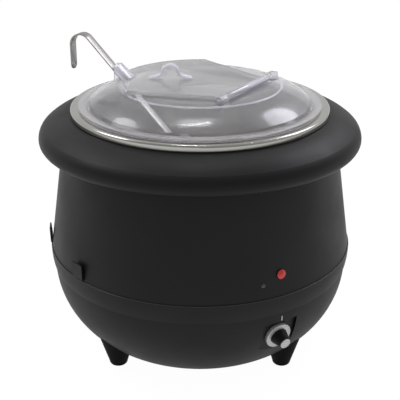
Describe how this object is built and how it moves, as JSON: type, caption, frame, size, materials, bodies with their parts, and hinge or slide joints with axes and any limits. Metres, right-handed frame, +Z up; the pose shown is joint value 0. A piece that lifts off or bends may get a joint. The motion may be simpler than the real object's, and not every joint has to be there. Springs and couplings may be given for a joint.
{
  "type": "soup kettle",
  "caption": "Pot-bellied electric soup kettle with a lift-out steel pot, a clear lid with a hinged flap and a ladle standing in the flap's notch.",
  "frame": {"origin": "on the kettle's axis at the level its feet stand on", "axes": "+Z up the axis, -Y out of the front, +X to the right seen from the front"},
  "size_m": [0.3454, 0.3454, 0.3392],
  "materials": {
    "black_shell": "matte powder coat",
    "foot_rubber": "matte",
    "black_plastic": "matte",
    "pot_steel": "brushed",
    "ladle_steel": "brushed",
    "plated_steel": "zinc plated",
    "copper_alloy": "drawn",
    "silver_trim": "satin",
    "clear_plastic": "clear polycarbonate",
    "hinge_clear": "clear polycarbonate rod",
    "red_lens": "translucent",
    "lamp_plastic": "satin",
    "white_mark": "printed",
    "wire_cover": "insulated"
  },
  "bodies": {
    "casing": {"base_shell": "black_shell", "upper_shell": "black_shell", "collar": "black_shell", "foot_front_right": "foot_rubber", "foot_back_right": "foot_rubber", "foot_back_left": "foot_rubber", "foot_front_left": "foot_rubber", "foot_screws": "plated_steel", "bottom_plate": "plated_steel", "bottom_plate_screws": "plated_steel", "water_well": "pot_steel", "thermostat": "black_plastic", "bush_nut": "plated_steel", "index_mark": "white_mark", "thermostat_bulb": "copper_alloy", "capillary_tube": "copper_alloy", "heating_element": "plated_steel", "element_clamp": "plated_steel", "clamp_stud": "plated_steel", "stud_nuts": "plated_steel", "heat_shield": "plated_steel", "thermal_cutout": "plated_steel", "pilot_lens": "red_lens", "pilot_lamp_body": "lamp_plastic", "shell_rivet": "plated_steel", "cord_clip_front": "black_shell", "cord_clip_side": "black_shell", "cable_gland": "black_plastic", "gland_nut": "black_plastic", "terminal_block": "black_plastic", "wire_element_left": "wire_cover", "wire_element_right": "wire_cover", "wire_thermostat": "wire_cover", "wire_lamp": "wire_cover"},
    "knob": {"dial_disc": "silver_trim", "knob_grip": "black_plastic", "knob_cap": "silver_trim", "thermostat_shaft": "plated_steel"},
    "pot": {"soup_pot": "pot_steel"},
    "lid_body": {"lid": "clear_plastic", "hinge_pin": "hinge_clear"},
    "flap": {"lid_flap": "clear_plastic", "flap_grip": "clear_plastic"},
    "ladle": {"ladle_handle": "ladle_steel", "ladle_bowl": "ladle_steel"}
  },
  "joints": [
    {"name": "knob_turn", "type": "hinge", "parent": "casing", "child": "knob", "pos_m": [0.07785, -0.13484, 0.066], "axis": [0.4891, -0.8471, -0.2079], "range_deg": [-270, 0]},
    {"name": "pot_lift", "type": "slide", "parent": "casing", "child": "pot", "axis": [0, 0, 1], "range_m": [0, 0.2]},
    {"name": "lid_lift", "type": "slide", "parent": "pot", "child": "lid_body", "axis": [0, 0, 1], "range_m": [0, 0.08]},
    {"name": "flap_hinge", "type": "hinge", "parent": "lid_body", "child": "flap", "pos_m": [0.04919, -0.03073, 0.2954], "axis": [0.5299, 0.848, 0], "range_deg": [0, 110]},
    {"name": "ladle_slide", "type": "slide", "parent": "lid_body", "child": "ladle", "axis": [-0.6409, 0.2333, 0.7314], "range_m": [0, 0.06]}
  ]
}
